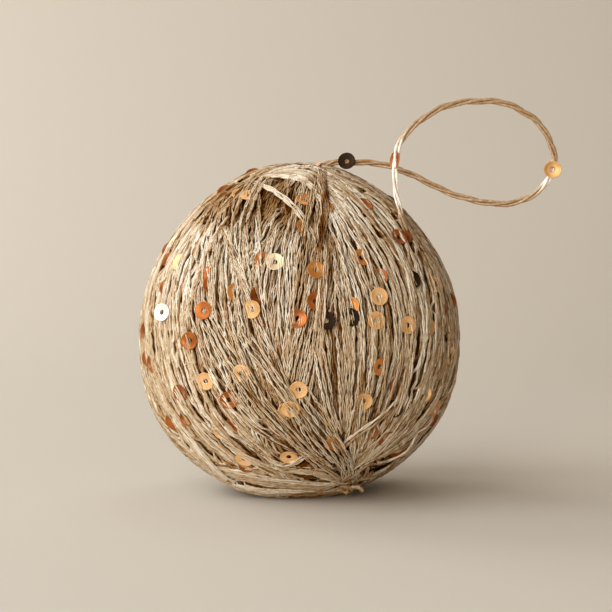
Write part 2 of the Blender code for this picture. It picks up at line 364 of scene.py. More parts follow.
def smooth_curve(points, per_stretch=16):
    """A smooth curve through points, as many fine steps."""
    points = np.asarray(points, float)
    points = np.concatenate(([2 * points[0] - points[1]], points, [2 * points[-1] - points[-2]]))
    share = np.arange(per_stretch)[:, None] / per_stretch
    fine = []
    for before, start, end, after in zip(points, points[1:], points[2:], points[3:]):
        linear = (end - before) * share
        square = (2.0 * before - 5.0 * start + 4.0 * end - after) * share**2
        cube = (3.0 * start - before - 3.0 * end + after) * share**3
        fine.append(0.5 * (2.0 * start + linear + square + cube))
    fine.append(points[-2:-1])
    return np.concatenate(fine)


def route_seen(form, places):
    """A smooth route over the ball, through places that the camera sees or places round the ball's centre."""
    if len(places[0]) == 2:
        places = [form.seen(*place) for place in places]
    return evenly(unit(smooth_curve(places)))


def sideways_of(directions):
    return unit(np.cross(unit(np.gradient(directions, axis=0)), directions))


def shifted(directions, offset):
    """A route moved sideways by an offset, one for all samples or one each."""
    offset = np.broadcast_to(offset, (len(directions),))
    return moved(directions, sideways_of(directions), offset[:, None])


def wander(count, strength, wavelength):
    """A gentle random sideways drift along a route, in three waves, from measures in millimetres."""
    along = np.arange(count) * SAMPLE_STEP
    drift = np.zeros(count)
    waves = (1.0, 0.55, 0.3)
    for share in waves:
        phase = random.uniform(0.0, TURN)
        length = wavelength * MM * share * random.uniform(0.8, 1.25)
        drift += share * np.sin(TURN * along / length + phase)
    return drift * (strength * MM) / sum(waves)


# The winding


class Winding:
    """Lays strands over one another, then makes their plies. Heights count from the lowest layer."""

    def __init__(self, form, relief):
        self.form = form
        self.relief = relief
        self.sequins = []
        self.strands = []
        self.bundles = [Bundle()]
        self.painted_spots = ()

    def painted_spot_tone(self, directions):
        """How much lighter or darker the painted highlights and painted shade make the yarn along a route."""
        change = np.zeros(len(directions))
        for place, reach, difference in self.painted_spots:
            cosines = np.clip(directions @ self.form.seen(*place), -1.0, 1.0)
            change += difference * np.exp(-((np.arccos(cosines) * BALL_RADIUS / (reach * MM)) ** 4))
        return change

    def settle(self, directions, width, thickness):
        """The height of a strand's middle: it bridges dips and presses a little into what it crosses."""
        side = sideways_of(directions)
        beneath = np.zeros(len(directions))
        for share in (-0.28, 0.0, 0.28):
            beneath = np.maximum(beneath, self.relief.read(moved(directions, side, share * width)))
        heights = averaged(highest_within(beneath, 3), 4) + thickness * SETTLING
        for sequin in self.sequins:
            heights = sequin.lower(directions, heights, thickness)
        return heights

    def cover(self, directions, heights, width, thickness):
        """Raises the relief to the round top of a strand."""
        ways = unit(np.gradient(directions, axis=0))
        side = np.cross(ways, directions)
        for share in (-0.85, -0.55, -0.25, 0.0, 0.25, 0.55, 0.85):
            tops = heights + thickness / 2 * math.sqrt(1.0 - share * share)
            self.relief.lay(moved(directions, side, share * width / 2), tops, ways)

    def lay(self, directions, tone, lift=0.0, sinks=(1.2, 1.2), sink_length=5 * MM, width=1.0):
        """Lays one strand of two plies along a route. Its ends sink into the ball by so many millimetres."""
        count = len(directions)
        heights = self.settle(directions, STRAND_WIDTH * width, STRAND_HEIGHT)
        along = np.arange(count) * SAMPLE_STEP
        bump = np.sin(math.pi * np.arange(count) / (count - 1)) ** 2
        for depth, distance in zip(sinks, (along, along[::-1])):
            end = np.clip(1.0 - distance / sink_length, 0.0, 1.0)
            heights = heights - depth * MM * end * end * (3.0 - 2.0 * end)
        self.cover(directions, heights, STRAND_WIDTH * width, STRAND_HEIGHT)
        few = directions[::SAMPLES_PER_SEGMENT]
        lifts = (lift * bump)[::SAMPLES_PER_SEGMENT]
        tones = tone + self.painted_spot_tone(few)
        self.strands.append((few, heights[::SAMPLES_PER_SEGMENT], lifts, tones, width))

    def lay_under(self, directions, tone):
        """A plain strand of the layer beneath, marked by a width of 0. It shows only in the gaps."""
        heights = np.full(len(directions), UNDER_RADIUS * 0.6)
        self.cover(directions, heights, 2 * UNDER_RADIUS, 2 * UNDER_RADIUS)
        few = directions[:: 2 * SAMPLES_PER_SEGMENT]
        heights = heights[:: 2 * SAMPLES_PER_SEGMENT]
        self.strands.append((few, heights, np.zeros(len(few)), np.full(len(few), tone), 0.0))

    def over_form(self, directions, along, side, heights):
        """How far something stands out of the form, once the skin of the windings is laid on the form."""
        skin = np.zeros(len(directions))
        spots = sum(count for _, count in SKIN_RINGS)
        for share, count in SKIN_RINGS:
            for angle in TURN * (np.arange(count) + 0.5) / count:
                ahead = share * SKIN_REACH / BALL_RADIUS * math.cos(angle)
                beside = share * SKIN_REACH / BALL_RADIUS * math.sin(angle)
                skin += self.relief.read(unit(directions + along * ahead + side * beside)) / spots
        if len(skin) > 5:
            skin = averaged(skin, 2)
        rise = (heights - skin) * STACKING
        limit = np.where(rise > 0.0, HIGHEST, DEEPEST)
        return limit * np.tanh(rise / limit) - SKIN_DROP

    def line(self, directions, heights, half):
        """The points of a strand's middle line, from its heights and half its thickness."""
        along = unit(np.gradient(directions, axis=0))
        rise = self.over_form(directions, along, np.cross(along, directions), heights + half) - half
        return CENTRE + directions * (self.form.radius_along(directions) + rise)[:, None]

    def spin(self):
        """Makes the tubes of all strands where anything of them can be seen."""
        for directions, heights, lifts, tones, width in self.strands:
            side = sideways_of(directions)
            depths = [
                self.relief.read(moved(directions, side, share * STRAND_WIDTH)) - heights
                for share in (-0.45, 0.0, 0.45)
            ]
            shallow = np.min(depths, axis=0) < HIDDEN_DEPTH + STRAND_HEIGHT / 2
            shown = highest_within(shallow.astype(float), 1) > 0.5
            edges = np.flatnonzero(np.diff(np.concatenate(([False], shown, [False])).astype(int)))
            for start, end in zip(edges[::2], edges[1::2]):
                if end - start > 3:
                    run = slice(start, end)
                    self.draw(directions[run], heights[run], lifts[run], tones[run], width)

    def draw(self, directions, heights, lifts, tones, width):
        """Makes one stretch of a strand, which is a plain tube in the layer beneath."""
        if width > 0.0:
            line = self.line(directions, heights, STRAND_HEIGHT / 2) + directions * lifts[:, None]
            self.ply(line, directions, tones, width, heights + STRAND_HEIGHT / 2)
        else:
            line = self.line(directions, heights, UNDER_RADIUS)
            line[:, 2] = np.maximum(line[:, 2], UNDER_RADIUS)
            self.put(line, directions, UNDER_RADIUS, tones, heights + UNDER_RADIUS)

    def ply(self, line, directions, tones, width, tops):
        """Two uneven plies round a strand's line, kept above the floor."""
        count = len(line)
        along = distances(line)
        side = unit(np.cross(unit(np.gradient(line, axis=0)), directions))
        pitch = TWIST_PITCH * random.uniform(*TWIST_RANGE)
        phase = random.uniform(0.0, TURN)
        slack = 1.0 + SLACKNESS * np.sin(TURN * along / SLACK_LENGTH + random.uniform(0.0, 6.28))
        for turn in (0.0, math.pi):
            angle = TURN * along / pitch + phase + turn
            offset = side * (np.cos(angle) * PLY_SPREAD * width * slack)[:, None]
            offset += directions * (np.sin(angle) * PLY_RISE)[:, None]
            offset += side * random.normal(0.0, DRIFT_ACROSS, count)[:, None]
            offset += directions * random.normal(0.0, DRIFT_OUTWARD, count)[:, None]
            radius = PLY_RADIUS * random.uniform(*PLY_SIZES) * max(width, 0.55 + 0.45 * width)
            uneven = radius * (1.0 + random.uniform(-PLY_UNEVENNESS, PLY_UNEVENNESS, count))
            ply = line + offset
            ply[:, 2] = np.maximum(ply[:, 2], uneven)
            self.put(ply, directions, uneven, tones + random.normal(0.0, PLY_TONES), tops)

    def put(self, line, normals, radius, tones, heights):
        if self.bundles[-1].triangles > MOST_TRIANGLES:
            self.bundles.append(Bundle())
        self.bundles[-1].add(line, normals, radius, PLY_SIDES, tones, heights)


# The directions of the two points at which the strands gather, and two between them
TOP = unit(np.array((5.5, -4.0, 38.4)) * MM)
LOW = unit(np.array((9.5, -21.0, -32.0)) * MM)
SIDE_AXIS = unit(np.cross(TOP, LOW))
FRONT_AXIS = unit(np.cross(SIDE_AXIS, unit(TOP - LOW)))


def near(direction, spread):
    """A direction near this one."""
    return unit(direction + random.normal(0.0, spread / BALL_RADIUS, 3))


def half_way(angle):
    """A direction half way between the two gathering points."""
    return math.cos(angle) * SIDE_AXIS + math.sin(angle) * FRONT_AXIS


def lay_under_layer(winding):
    for number in range(UNDER_COUNT):
        angle = TURN * number / UNDER_COUNT
        route = arc_through(near(TOP, UNDER_SPREAD), half_way(angle), near(LOW, UNDER_SPREAD))
        route = shifted(route, wander(len(route), 0.3, 30))
        # The layer beneath gets a low tone: painted shade for the gaps in which it shows
        winding.lay_under(route, random.uniform(0.25, 0.5))


# Groups: how far apart strands lie, how far from the gathering points they end, how much their tones differ,
# and the shares of a strand that are left out at either end
GROUP_PITCH = 0.82 * MM
GROUP_TOP_SPREAD = 3.2 * MM
GROUP_LOW_SPREAD = 4.4 * MM
GROUP_TONES = 0.08
STRAND_TONES = 0.13
SHARES_LEFT_OUT = (0.0, 0.0, 0.06, 0.12)


def lay_groups(winding, group_count, sizes, lean_limit, tone_middle):
    """Groups of neighbouring strands, one over another at shallow angles, all round the ball."""
    spacing = TURN / group_count
    for number in random.permutation(group_count):
        angle = (number + random.uniform(-0.3, 0.3)) * spacing
        size = int(random.integers(*sizes))
        top = near(TOP, GROUP_TOP_SPREAD)
        low = near(LOW, GROUP_LOW_SPREAD)
        before = random.uniform(1, 5) * MM
        beyond = random.uniform(1, 6) * MM
        middle_line = arc_through(top, half_way(angle), low, before, beyond)
        count = len(middle_line)
        lean = random.uniform(-lean_limit, lean_limit)
        drift = wander(count, 0.6, 60)
        tone = random.normal(tone_middle, GROUP_TONES)
        share = np.linspace(0.0, 1.0, count)
        narrowing = 0.40 + 0.60 * np.sin(math.pi * share) ** 0.8
        for place in range(size):
            offset = (place - (size - 1) / 2) * GROUP_PITCH * narrowing
            offset = offset + drift + lean * np.sin(TURN * (share - 0.5))
            offset = offset + wander(count, 0.14, 26)
            start, end = (int(random.choice(SHARES_LEFT_OUT) * count) for _ in range(2))
            route = shifted(middle_line, offset)[start : count - end]
            winding.lay(route, tone + random.normal(0.0, STRAND_TONES))


def lay_fan(winding, fan, count, tone, **how):
    """Strands side by side from one route on the front to another, in no order."""
    first, last = np.asarray(fan, float)
    for number in random.permutation(count):
        share = (number + 0.5 + random.uniform(-0.25, 0.25)) / count
        route = route_seen(winding.form, first + (last - first) * share)
        route = shifted(route, wander(len(route), 0.16, 30))
        winding.lay(route, tone + random.normal(0.0, 0.15), **how)


def lay_band(winding, places, count, tone, pitch=0.8, spreads=(1.0, 1.0), **how):
    """A few strands side by side along one route on the front, nearer or farther apart at its far end."""
    middle_line = route_seen(winding.form, places)
    share = np.linspace(0.0, 1.0, len(middle_line))
    spread = spreads[0] + (spreads[1] - spreads[0]) * share
    for place in range(count):
        offset = (place - (count - 1) / 2) * pitch * MM * spread
        offset = offset + wander(len(middle_line), 0.18, 24)
        winding.lay(shifted(middle_line, offset), tone + random.normal(0.0, 0.11), **how)


# Painted shade and painted highlights on the yarn of the front: place, reach in millimetres, and by how much
# darker (painted shade) or lighter (painted highlight)
PAINTED_SHADE_AND_HIGHLIGHTS = (
    ((-4, 30.5), 7, -0.34),
    ((-18, 31), 8.5, -0.32),
    ((2, -31.3), 6, -0.55),
    ((14, -30), 4.5, -0.20),
    ((6.5, 27), 3, -0.30),
    ((-13.8, 17), 8, 0.25),
    ((-22.5, 17.5), 8, 0.27),
    ((-17, -4.5), 8, 0.13),
)
# Painted sheen: where the fans on the right are made lighter, as if they catch the light
PAINTED_SHEEN = (((-3, 37), 7, 0.20), ((9.5, 29.5), 8, 0.22))

# The first and the last route of the fans of strands on the front
LEFT_CROSSING = (
    ((-21, 30), (-27, 10), (-18, -17), (9, -33)),
    ((-9, 36), (-8, 10), (-2, -18), (9, -33)),
)
HERRINGBONE = (
    ((1, 15), (-3, -2), (-6, -14)),
    ((9, 11), (4, -8), (1, -22)),
)
RIGHT_FAN = (
    ((4.9, 38.6), (12, 36.6), (20, 33), (32, 19.5), (36.9, 4), (34.8, -12), (24, -27), (10.3, -33.5)),
    ((4.9, 29), (6.6, 25.5), (8.3, 20.5), (10.3, 11), (11.3, 1), (11.2, -10), (10.6, -21), (10, -33.8)),
)
ARC_FAN = (
    ((-10.2, 36.6), (-6.1, 38), (-2.6, 38.5), (0.5, 38.7), (2.6, 38.7), (4, 38.6), (6.6, 37.7),
     (10.3, 35.6), (17.6, 27.4), (26.7, 14), (30.2, 0), (24, -20), (11.5, -33.9)),
    ((-10.6, 36.2), (-6.1, 36.6), (-2.6, 36.1), (0.5, 35), (2.6, 33.1), (4, 31), (6.3, 28),
     (8.3, 22), (10.3, 14), (11.5, 5), (11.9, -6.7), (11.5, -21), (11, -34.4)),
)

# The bundles over them, as they are laid: how many strands, their tone, how they lie, and their route. That
# of the foot band, round the front edge of the flat spot, is in millimetres from the ball's centre.
BANDS = (
    # Left branch
    (3, 0.72, dict(spreads=(0.4, 1.3)), ((-17, 26.9), (-23.6, 15.2), (-27, 0), (-24, -17), (-10, -32))),
    # Right branch
    (4, 0.72, dict(spreads=(0.4, 1.2)), ((-18, 24.8), (-13.1, 9.4), (-6, -9.4), (2.1, -25.7), (9.5, -34))),
    # Low filling
    (4, 0.56, dict(pitch=0.7, spreads=(1.3, 0.8), sinks=(1.6, 1.2)),
     ((-5, -32.6), (-0.5, -33), (4, -33.9), (9.5, -35.6))),
    # Foot band
    (10, 0.58, dict(pitch=0.62, lift=0.6 * MM),
     ((-19, -4, -35), (-14, -9, -36.9), (-8, -12.5, -37.3), (-1, -14, -37.3), (6, -13.8, -37.3),
      (11, -12, -37.2), (14, -8.5, -37), (16, -4, -36.5))),
    # Underside band
    (5, 0.66, dict(pitch=0.86, lift=0.4 * MM),
     ((-26, -31), (-20.1, -33.2), (-14.3, -34.3), (-9.1, -35.6), (-2.6, -36.7), (8, -36.8))),
    # Low band
    (6, 0.72, dict(pitch=0.96, lift=0.9 * MM),
     ((-30.7, -21.1), (-23.6, -30), (-16.1, -35.6), (-2.6, -38.1), (9.1, -37.9))),
    # Long crossing
    (4, 0.76, dict(spreads=(1.4, 0.9), lift=0.6 * MM),
     ((-23.6, 7), (-14.3, -10.5), (-2.6, -24.6), (9.1, -35.1))),
    # Middle crossing
    (3, 0.72, dict(spreads=(1.6, 0.9), lift=0.5 * MM),
     ((-14.3, 0), (-2.6, -16.4), (6.8, -28.5), (10.3, -32.8))),
    # Steep crossing
    (3, 0.74, dict(spreads=(1.3, 0.9), lift=0.6 * MM),
     ((3.7, -1.4), (6.3, -16.4), (8.2, -23.4), (11.2, -32.8))),
    # Short crossing
    (4, 0.74, dict(spreads=(1.5, 0.9), lift=0.8 * MM),
     ((-0.5, -14.3), (5.6, -23.4), (10.2, -30.6), (11.2, -35.4))),
    # Right pair
    (2, 0.66, dict(pitch=0.9, lift=0.5 * MM),
     ((25.2, -14.6), (20, -19.6), (15.7, -22.7), (11.5, -26), (9, -29.4))),
    # Sagging strand
    (2, 0.88, dict(pitch=0.7, lift=0.7 * MM, sinks=(1.8, 1.8)),
     ((-9.3, -29.3), (-6.8, -30.8), (-4, -31.3), (-0.9, -30.6), (2.1, -28.8))),
    # Bridge
    (2, 0.98, dict(pitch=0.6, spreads=(0.8, 1.8), lift=0.5 * MM, sinks=(1.8, 1.4)),
     ((-11.2, 35), (-8.9, 34.1), (-5.9, 32.3), (-2.3, 29.3), (0.5, 26.4), (2.3, 23.9), (3.5, 20.6))),
    # Brown bundle: the same yarn, its low tone painted shade
    (4, 0.50, dict(pitch=0.46, lift=0.7 * MM),
     ((5, 38.4), (5, 35.8), (5.3, 32.8), (5.2, 26.7), (4.4, 20.6), (3.2, 15.6))),
)
LOOSE_STRANDS = (
    ((37, -6), (34.9, -12.9), (31, -19)),
    ((32.4, -17), (29.6, -21.6), (26, -25.6)),
    ((28.2, -23.6), (24.6, -27.6), (19.6, -31.6)),
)

# The yarn's other end, knotted, just above the floor: places in millimetres from the ball's centre
TAIL = ((8.6, -15.5, -33.6), (10.4, -15.2, -34.9), (12.2, -15.8, -34.7), (13.3, -16.2, -34.8),
        (14.2, -16.4, -35.5))
KNOT = ((8.6, -14.4, -33.8), (9.2, -15.9, -34.6), (10.4, -16.3, -34.5), (11.2, -15.6, -35.3),
        (10.2, -14.8, -36.1), (9, -14, -35.6))
TAIL_TONE = 0.42
TAIL_WIDTH = 1.9
ABOVE_ALL = 1.0


def lay_front(winding):
    """The bundles and loose strands that make the front what it is."""
    lay_fan(winding, LEFT_CROSSING, 17, 0.62, sinks=(1.6, 1.4), sink_length=8 * MM)
    lay_fan(winding, HERRINGBONE, 9, 0.66, sinks=(1.4, 1.6), sink_length=7 * MM)
    # Painted sheen on the two fans laid next
    winding.painted_spots = PAINTED_SHEEN
    lay_fan(winding, RIGHT_FAN, 26, 0.70, sinks=(0.6, 1.4))
    # The arc fan's light tone is partly painted highlight, for the sheen of its strands
    lay_fan(winding, ARC_FAN, 13, 0.84, sinks=(0.8, 1.4))
    winding.painted_spots = ()
    for count, tone, how, places in BANDS:
        lay_band(winding, places, count, tone, **how)
    for places in LOOSE_STRANDS:
        lay_band(winding, places, 1, 0.58, lift=1.1 * MM)
    for places in (TAIL, KNOT):
        line = smooth_curve(np.array(places) * MM, per_stretch=6)
        tones, tops = (np.full(len(line), value) for value in (TAIL_TONE, ABOVE_ALL))
        winding.ply(CENTRE + line, unit(line), tones, TAIL_WIDTH, tops)


# The sequins

# On the front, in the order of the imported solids: foil, how far it leans about the strands (a positive lean
# faces right), and how much of its width strands hide from the left and from the right, where they do
FRONT_SEQUINS = (
    ("painted_glare", 26), ("copper", 10), ("honey", -6, 0.2), ("pale", 8, 0.45),
    ("amber", 8, 0, 0.15), ("painted_dark_reflection", 0, 0.45), ("painted_dark_reflection", 0, 0.5), ("gold", -10),
    ("gold", -8, 0, 0.4), ("gold", -8, 0, 0.3), ("painted_dark_reflection", -8, 0.5), ("copper", 0, 0.3),
    ("copper", 14, 0.5), ("gold", 8, 0.3), ("gold", 0, 0, 0.5), ("gold", 0),
    ("gold", -4, 0, 0.2), ("gold", -6, 0.5), ("amber", 10, 0.25, 0.4), ("copper", 8, 0.45),
    ("copper", 8, 0, 0.5), ("gold", 6, 0, 0.3), ("gold", 0), ("amber", -8, 0, 0.4),
    ("copper", 10, 0.6), ("copper", 10, 0.2, 0.5), ("gold", 10, 0.25, 0.5), ("amber", 8, 0.35, 0.35),
    ("copper", -8, 0.5, 0.2), ("amber", 6, 0.3, 0.4), ("gold", -8, 0.2, 0.55), ("gold", -8, 0.55, 0.15),
    ("copper", 8, 0.2, 0.45), ("amber", -8, 0.5), ("copper", 8, 0.2, 0.5), ("gold", 8, 0, 0.5),
    ("copper", -8, 0, 0.4), ("copper", 6, 0, 0.5), ("gold", -10, 0.15, 0.45), ("copper", 10, 0.2, 0.45),
)

# On the back, where they come twice
BACK_SEQUINS = (
    ("gold", 5), ("copper", 8, 0.2, 0.4), ("gold", -6, 0.3), ("amber", 8, 0.5),
    ("gold", 0, 0, 0.4), ("painted_dark_reflection", -10, 0.3), ("copper", -8, 0.2, 0.45),
)

# Further ones, of which little shows between the strands: place on the front, and foil
SLIVERS = (
    (-10.3, 8.3, "painted_shade_copper"), (12, 5.8, "amber"), (18.9, 12.7, "painted_shade_copper"), (-8.9, 2.8, "painted_shade_copper"),
    (-3.7, -19.6, "gold"), (-18.9, -24.3, "gold"), (-1.2, -24.6, "painted_shade_copper"), (-13.1, -32.6, "painted_shade_copper"),
    (-22.5, -31.7, "painted_shade_copper"), (-27.2, -21, "painted_shade_copper"), (-31, -22.1, "copper"), (-36.6, -6.6, "painted_shade_copper"),
    (-37.2, 0, "painted_shade_copper"), (-32.1, 10.2, "painted_shade_copper"), (-31.3, 16.8, "painted_shade_copper"), (-31.6, 19.3, "painted_shade_copper"),
    (-29.9, 21, "pale"), (-21.6, 10.8, "copper"), (-15.8, 9.1, "amber"), (-18.1, 33.1, "painted_shade_copper"),
    (-11.4, 37.3, "painted_shade_copper"), (3.2, 38.9, "amber"), (-8.7, 29.6, "painted_shade_copper"),
    (24.7, 22.4, "painted_shade_copper"), (33.3, 4.7, "painted_shade_copper"), (35.5, 6.9, "painted_shade_copper"), (29.4, -15.2, "gold"),
    (22.5, -19, "painted_dark_reflection"), (16.5, -24.3, "painted_shade_copper"), (31.1, -21.2, "painted_shade_copper"), (23.1, -29, "painted_shade_copper"),
    (-9.2, 16.8, "amber"), (0.7, 24.6, "amber"), (6, 29, "amber"), (-14.5, 32.6, "gold"),
    (-2.6, 34.5, "painted_shade_copper"),
)
SLIVER_LEAN = 36.0

# Those on the back, spread from this height in ball radii down by so much, and over this width, turned from
# one to the next by this share of it
BACK_SLIVER_COUNT = 26
BACK_SLIVER_FOILS = ("painted_shade_copper", "gold", "copper", "amber")
BACK_SLIVER_TOP = 0.85
BACK_SLIVER_DROP = 1.5
BACK_SLIVER_WIDTH = math.radians(190.0)
BACK_SLIVER_TURN = 0.618

# On the loop: foil, way that it faces, and how far it is from the yarn's middle line
LOOP_SEQUINS = (
    ("painted_dark_reflection", (0.05, -1.0, 0.30), 0.8),
    ("honey", (-0.10, -1.0, 0.10), 0.8),
    ("copper", (-0.86, -0.50, 0.15), 0.0),
)

# Across a sequin's face, from its hole to its rim: share of the way, and height in millimetres over the cup
SEQUIN_FACE = ((0.0, 0.00), (0.10, 0.05), (0.25, 0.01), (0.75, 0.00), (0.93, 0.05), (1.0, 0.01))

# The spots at which the windings beneath a sequin are read: share of its radius, and how many
DISC_RINGS = ((0.35, 6), (0.65, 12), (0.95, 20))

# The thread out of a sequin's hole, and the strands over its hidden parts
THREADED_SHARE = 0.4
THREAD_WIDTH = 0.35
COVER_PITCH = 0.76 * MM
COVER_LIFT = 0.32 * MM


def sequin_profile():
    """Rings round a sequin's cross-section, each a radius and a height: over its face and back beneath it."""
    face = []
    for share, rise in SEQUIN_FACE:
        radius = SEQUIN_HOLE_RADIUS + (SEQUIN_RADIUS - SEQUIN_HOLE_RADIUS) * share
        face.append((radius, rise * MM + SEQUIN_CUP * (radius / SEQUIN_RADIUS) ** 2))
    back = [(radius, height - SEQUIN_THICKNESS) for radius, height in face[::-1]]
    return np.array(face + back)


def sequin_points(centre, along, normal):
    """Points and faces of one sequin round a centre."""
    profile = sequin_profile()
    beside = np.cross(normal, along)
    angles = TURN * np.arange(SEQUIN_SIDES) / SEQUIN_SIDES
    spokes = np.cos(angles)[:, None] * along + np.sin(angles)[:, None] * beside
    points = centre + spokes[None] * profile[:, :1, None] + normal * profile[:, 1:2, None]
    return points.reshape(-1, 3), grid_faces(len(profile), SEQUIN_SIDES, closed=True)


def disc_offsets():
    """Spots on a sequin, along and across the strands: its middle and rings round it."""
    offsets = [(0.0, 0.0)]
    for share, count in DISC_RINGS:
        for step in range(count):
            angle = TURN * step / count
            offsets.append((share * SEQUIN_RADIUS * math.cos(angle), share * SEQUIN_RADIUS * math.sin(angle)))
    return np.array(offsets)


class SequinPlace:
    """Where one sequin lies or stands among the windings laid so far."""

    def __init__(self, winding, direction, lean, seat):
        self.direction = direction
        way = winding.relief.way(self.spots_round(direction, *self.axes(direction, LOW - TOP)))
        self.along, self.side = self.axes(direction, way)
        self.spots = self.spots_round(direction, self.along, self.side)
        self.height = np.percentile(winding.relief.read(self.spots), seat)
        turn = math.radians(lean)
        self.normal = math.cos(turn) * direction + math.sin(turn) * self.side
        self.tops = self.height + SEQUIN_CUP + SEQUIN_RIM - disc_offsets()[:, 1] * math.tan(turn)
        self.lift = SEQUIN_LIFT + 0.5 * SEQUIN_RADIUS * abs(math.sin(turn))

    @staticmethod
    def axes(direction, way):
        """Along the strands and to the right of them, level with the ball's skin."""
        side = unit(np.cross(direction, way))
        return np.cross(side, direction), side

    @staticmethod
    def spots_round(direction, along, side):
        offsets = disc_offsets() / BALL_RADIUS
        return unit(direction + offsets[:, :1] * along + offsets[:, 1:] * side)

    def centre(self, winding):
        here = self.direction[None]
        cup = SEQUIN_CUP + SEQUIN_RIM
        rise = winding.over_form(here, self.along, self.side, np.array((self.height + cup,))) - cup
        return CENTRE + self.direction * (winding.form.radius(here) + rise + self.lift)[0]

    def cover(self, winding, hidden):
        """Lays a thread out of the hole of some sequins, and strands over the parts that are hidden."""
        if max(hidden) > 0.0:
            self.lift = HIDDEN_SEQUIN_LIFT
        winding.relief.lay(self.spots, self.tops)
        if random.uniform() < THREADED_SHARE:
            self.cover_with_thread(winding)
        for way, share in zip((-1.0, 1.0), hidden):
            if share > 0.0:
                self.cover_with_strands(winding, way, share)
        self.left, self.right = (SEQUIN_RADIUS * (1.0 - 2.0 * share) for share in hidden)
        winding.sequins.append(self)

    def lower(self, directions, heights, thickness):
        """The heights of a strand laid later, which runs on beneath the sequin where the sequin shows."""
        close = directions @ self.direction > math.cos(1.2 * SEQUIN_RADIUS / BALL_RADIUS)
        if not close.any():
            return heights
        ahead = directions @ self.along * BALL_RADIUS
        beside = directions @ self.side * BALL_RADIUS
        on_disc = close & (np.hypot(ahead, beside) < SEQUIN_RADIUS)
        inside = on_disc & (beside > -self.left) & (beside < self.right)
        excess = np.where(inside, heights + thickness - self.height, 0.0)
        return heights - averaged(highest_within(np.maximum(excess, 0.0), 1), 2)

    def cover_with_thread(self, winding):
        way = random.choice((-1.0, 1.0))
        start = -SEQUIN_RADIUS / BALL_RADIUS
        length = random.uniform(9, 13) * MM / BALL_RADIUS
        bend = random.uniform(-0.7, 0.7) * MM / BALL_RADIUS
        share = np.linspace(0.0, 1.0, 40)
        run = start + (length - start) * share
        way_along = self.direction + way * np.outer(run, self.along)
        route = evenly(unit(way_along + np.outer(bend * share, self.side)))
        tone = random.uniform(0.6, 0.9)
        winding.lay(route, tone, width=THREAD_WIDTH, sinks=(1.0, 1.0), sink_length=3 * MM)

    def cover_with_strands(self, winding, way, share):
        offset = SEQUIN_RADIUS * (1.0 - 2.0 * share) + STRAND_WIDTH / 2
        while offset < SEQUIN_RADIUS + STRAND_WIDTH / 3:
            middle = self.direction + self.side * (way * offset / BALL_RADIUS)
            half = random.uniform(8, 12) * MM / BALL_RADIUS
            slant = random.uniform(-0.06, 0.06)
            run = np.linspace(-half, half, 60)
            route = evenly(unit(middle + np.outer(run, self.along) + np.outer(run * slant, self.side)))
            tone = random.normal(0.64, 0.10)
            winding.lay(route, tone, lift=COVER_LIFT, sinks=(1.6, 1.6), sink_length=7 * MM)
            offset += COVER_PITCH


def dress_sequin(name, centre, along, normal, foil):
    points, faces = sequin_points(centre, along, normal)
    sequin = mesh_object(f"{name}_foil", points, [faces], foil)
    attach(sequin, "root")
    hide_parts(name)
    return sequin


def node_middle(node):
    return np.array([vertex.co for vertex in node.data.vertices]).mean(axis=0)


def place_sequins(winding, nodes, embedded):
    """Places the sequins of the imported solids: those that strands partly hide, or those that lie on top."""
    placed = []
    names = sorted(name for name in nodes if name.startswith("sequin_"))
    for name, (foil, lean, *hidden) in zip(names, FRONT_SEQUINS + 2 * BACK_SEQUINS):
        hidden = (*hidden, 0.0, 0.0)[:2]
        if (max(hidden) > 0.0) == embedded:
            place = SequinPlace(winding, unit(node_middle(nodes[name]) - CENTRE), lean, SEQUIN_SEAT)
            place.cover(winding, hidden)
            placed.append((name, foil, place))
    return placed


def back_sliver(number):
    """The direction of one sliver on the back and sides."""
    height = BACK_SLIVER_TOP - BACK_SLIVER_DROP * (number + 0.5) / BACK_SLIVER_COUNT
    bearing = math.pi / 2 + ((number * BACK_SLIVER_TURN) % 1.0 - 0.5) * BACK_SLIVER_WIDTH
    level = math.sqrt(1.0 - height * height)
    return np.array((level * math.cos(bearing), level * math.sin(bearing), height))


def place_slivers(winding):
    """Places the sequins that stand in the gaps, half sunk between the strands and turned to the front."""
    spots = [(winding.form.seen(across, up), foil) for across, up, foil in SLIVERS]
    for number in range(BACK_SLIVER_COUNT):
        spots.append((back_sliver(number), BACK_SLIVER_FOILS[number % len(BACK_SLIVER_FOILS)]))
    placed = []
    for direction, foil in spots:
        turn = -math.copysign(1.0, direction[0] + random.uniform(-0.2, 0.2))
        lean = turn * SLIVER_LEAN * random.uniform(0.8, 1.2)
        place = SequinPlace(winding, direction, lean, SLIVER_SEAT)
        place.lift = -SLIVER_DEPTH
        placed.append((None, foil, place))
    return placed


def dress_sequins(placed, winding, foils):
    """Makes the placed sequins: those of the solids one by one, the others in one mesh for each foil."""
    slivers = {}
    for name, foil, place in placed:
        where = place.centre(winding), place.along, place.normal
        if name:
            dress_sequin(name, *where, foils[foil])
        else:
            slivers.setdefault(foil, []).append(sequin_points(*where))
    for foil, parts in slivers.items():
        points, faces = joined(parts)
        mesh = mesh_object(f"slivers_{foil}", points, [faces], foils[foil])
        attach(mesh, "root")


# The hanging loop

